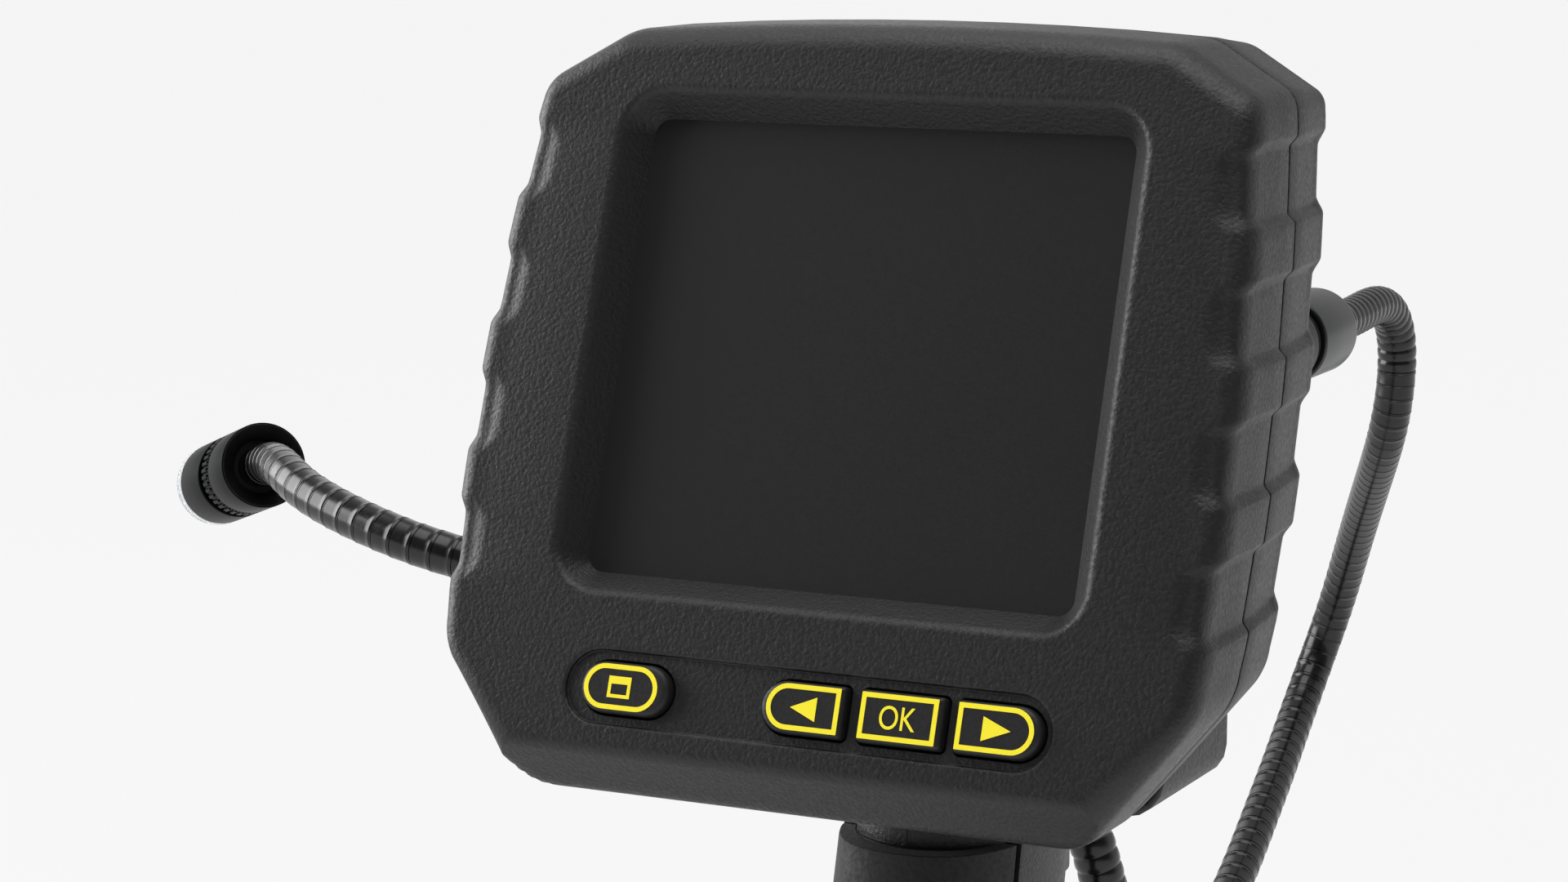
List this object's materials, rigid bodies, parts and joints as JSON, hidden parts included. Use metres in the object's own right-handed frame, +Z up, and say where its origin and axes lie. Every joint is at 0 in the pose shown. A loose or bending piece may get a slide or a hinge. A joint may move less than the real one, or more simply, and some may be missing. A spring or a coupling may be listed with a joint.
{
  "type": "inspection camera",
  "caption": "Pistol-grip inspection camera with a leaning lift-off display, rubber keys, slide-on battery and a ribbed gooseneck that carries a small cylindrical camera head.",
  "frame": {"origin": "middle of the battery's flat underside, on the surface the tool stands on", "axes": "+X to the right of a user who reads the screen, +Y away from the user along the barrel, +Z up"},
  "size_m": [0.274, 0.3368, 0.2626],
  "materials": {
    "housing_plastic": "fine pebble grain",
    "body_plastic": "fine pebble grain",
    "dark_plastic": "matt",
    "grip_rubber": "matt, soft",
    "button_rubber": "matt, soft",
    "seal_rubber": "matt",
    "screen": "satin, switched off",
    "lcd": "plain",
    "board": "solder mask",
    "steel": "zinc plated",
    "dark_metal": "satin",
    "hose_jacket": "semi-gloss, ribbed",
    "wire": "plain",
    "clear": "clear",
    "cell_wrap": "shrink sleeve",
    "cell_pouch": "foil",
    "contact_metal": "plated",
    "white_board": "plain"
  },
  "bodies": {
    "tool_body": {"body_left_shell": "body_plastic", "body_right_shell": "body_plastic", "rear_grip": "grip_rubber", "dock_plate": "dark_plastic", "dock_screws": "steel", "body_screws": "steel", "control_board": "board", "battery_terminals": "contact_metal", "dimmer_axle": "steel", "cable_socket": "dark_plastic", "neck_seal": "seal_rubber", "cable_plug": "dark_plastic", "gooseneck": "hose_jacket", "camera_wires": "wire", "head_end_cap": "dark_plastic", "head_rear_sleeve": "dark_metal", "head_core": "steel", "head_seal": "seal_rubber", "head_barrel": "dark_metal", "lens_ring": "clear", "lens_window": "clear", "camera_module": "dark_plastic", "led_board": "white_board", "leds": "clear"},
    "display": {"display_front_shell": "housing_plastic", "display_rear_shell": "housing_plastic", "shell_seal": "seal_rubber", "screen_window": "screen", "screen_gasket": "seal_rubber", "lcd_panel": "lcd", "display_board": "board", "keypad_board": "board", "dome_switches": "steel", "display_cell": "cell_pouch", "display_screws": "steel"},
    "menu_key": {"menu_button": "button_rubber"},
    "left_key": {"left_button": "button_rubber"},
    "ok_key": {"ok_button": "button_rubber"},
    "right_key": {"right_button": "button_rubber"},
    "dimmer": {"dimmer_wheel": "button_rubber"},
    "nut": {"coupling_nut": "dark_metal"},
    "head_ring": {"knurled_ring": "dark_metal"},
    "battery": {"battery_case": "dark_plastic", "battery_cover": "dark_plastic", "battery_cells": "cell_wrap", "battery_board": "board", "battery_contacts": "contact_metal"},
    "release": {"battery_release": "button_rubber"}
  },
  "joints": [
    {"name": "display_lift", "type": "slide", "parent": "tool_body", "child": "display", "axis": [0, 0, 1], "range_m": [0, 0.06]},
    {"name": "menu_press", "type": "slide", "parent": "display", "child": "menu_key", "axis": [0, 0.9438, -0.3305], "range_m": [0, 0.0008], "stiffness_N_per_m": 1500},
    {"name": "left_press", "type": "slide", "parent": "display", "child": "left_key", "axis": [0, 0.9438, -0.3305], "range_m": [0, 0.0008], "stiffness_N_per_m": 1500},
    {"name": "ok_press", "type": "slide", "parent": "display", "child": "ok_key", "axis": [0, 0.9438, -0.3305], "range_m": [0, 0.0008], "stiffness_N_per_m": 1500},
    {"name": "right_press", "type": "slide", "parent": "display", "child": "right_key", "axis": [0, 0.9438, -0.3305], "range_m": [0, 0.0008], "stiffness_N_per_m": 1500},
    {"name": "dimmer_turn", "type": "hinge", "parent": "tool_body", "child": "dimmer", "pos_m": [0, 0.01476, 0.127], "axis": [1, 0, 0], "range_deg": [-135, 135]},
    {"name": "nut_turn", "type": "hinge", "parent": "tool_body", "child": "nut", "pos_m": [0, 0.16, 0.196], "axis": [0, 1, 0], "continuous": true},
    {"name": "head_ring_turn", "type": "hinge", "parent": "tool_body", "child": "head_ring", "pos_m": [-0.19066, 0.08843, 0.16631], "axis": [-0.7252, 0.6412, -0.2511], "continuous": true},
    {"name": "battery_slide", "type": "slide", "parent": "tool_body", "child": "battery", "axis": [0, 1, 0], "range_m": [0, 0.085]},
    {"name": "release_press", "type": "slide", "parent": "battery", "child": "release", "axis": [0, -1, 0], "range_m": [0, 0.003], "stiffness_N_per_m": 900}
  ]
}
